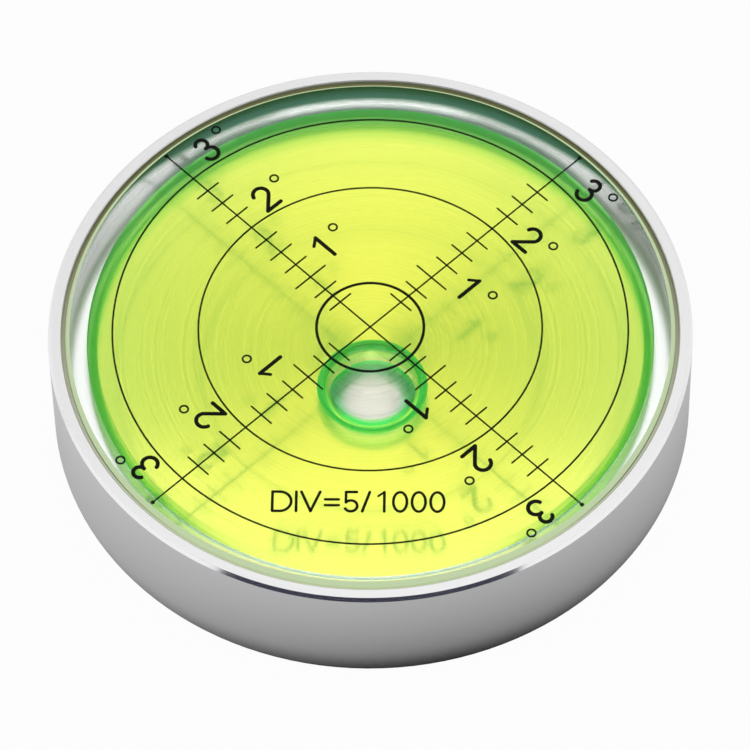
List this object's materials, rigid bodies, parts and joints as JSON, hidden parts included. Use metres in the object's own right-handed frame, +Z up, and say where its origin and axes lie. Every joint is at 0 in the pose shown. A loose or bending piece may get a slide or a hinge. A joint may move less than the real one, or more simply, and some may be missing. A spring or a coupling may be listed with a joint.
{
  "type": "bullseye level",
  "caption": "Round bullseye level: a clear vial of green spirit with an air bubble and a printed degree scale, bonded flush in a low turned aluminium case.",
  "frame": {"origin": "centre of the flat underside of the case", "axes": "+Z up through the vial, square to the underside; the legend reads along +X, below the centre towards -Y, and the four arms of the scale lie at 45, 135, 225 and 315 degrees"},
  "size_m": [0.06, 0.06, 0.0121],
  "materials": {
    "turned_aluminium": "fine turned, clear",
    "clear_acrylic": "polished clear acrylic",
    "amber_adhesive": "cured resin",
    "dyed_spirit": "clear liquid",
    "air": "gas",
    "ink": "screen-printed"
  },
  "bodies": {
    "root": {"case": "turned_aluminium", "vial_cup": "clear_acrylic", "lens": "clear_acrylic", "bond_ring": "amber_adhesive", "spirit": "dyed_spirit", "bubble": "air", "scale_lines": "ink", "degree_numbers": "ink", "legend": "ink"}
  },
  "joints": []
}
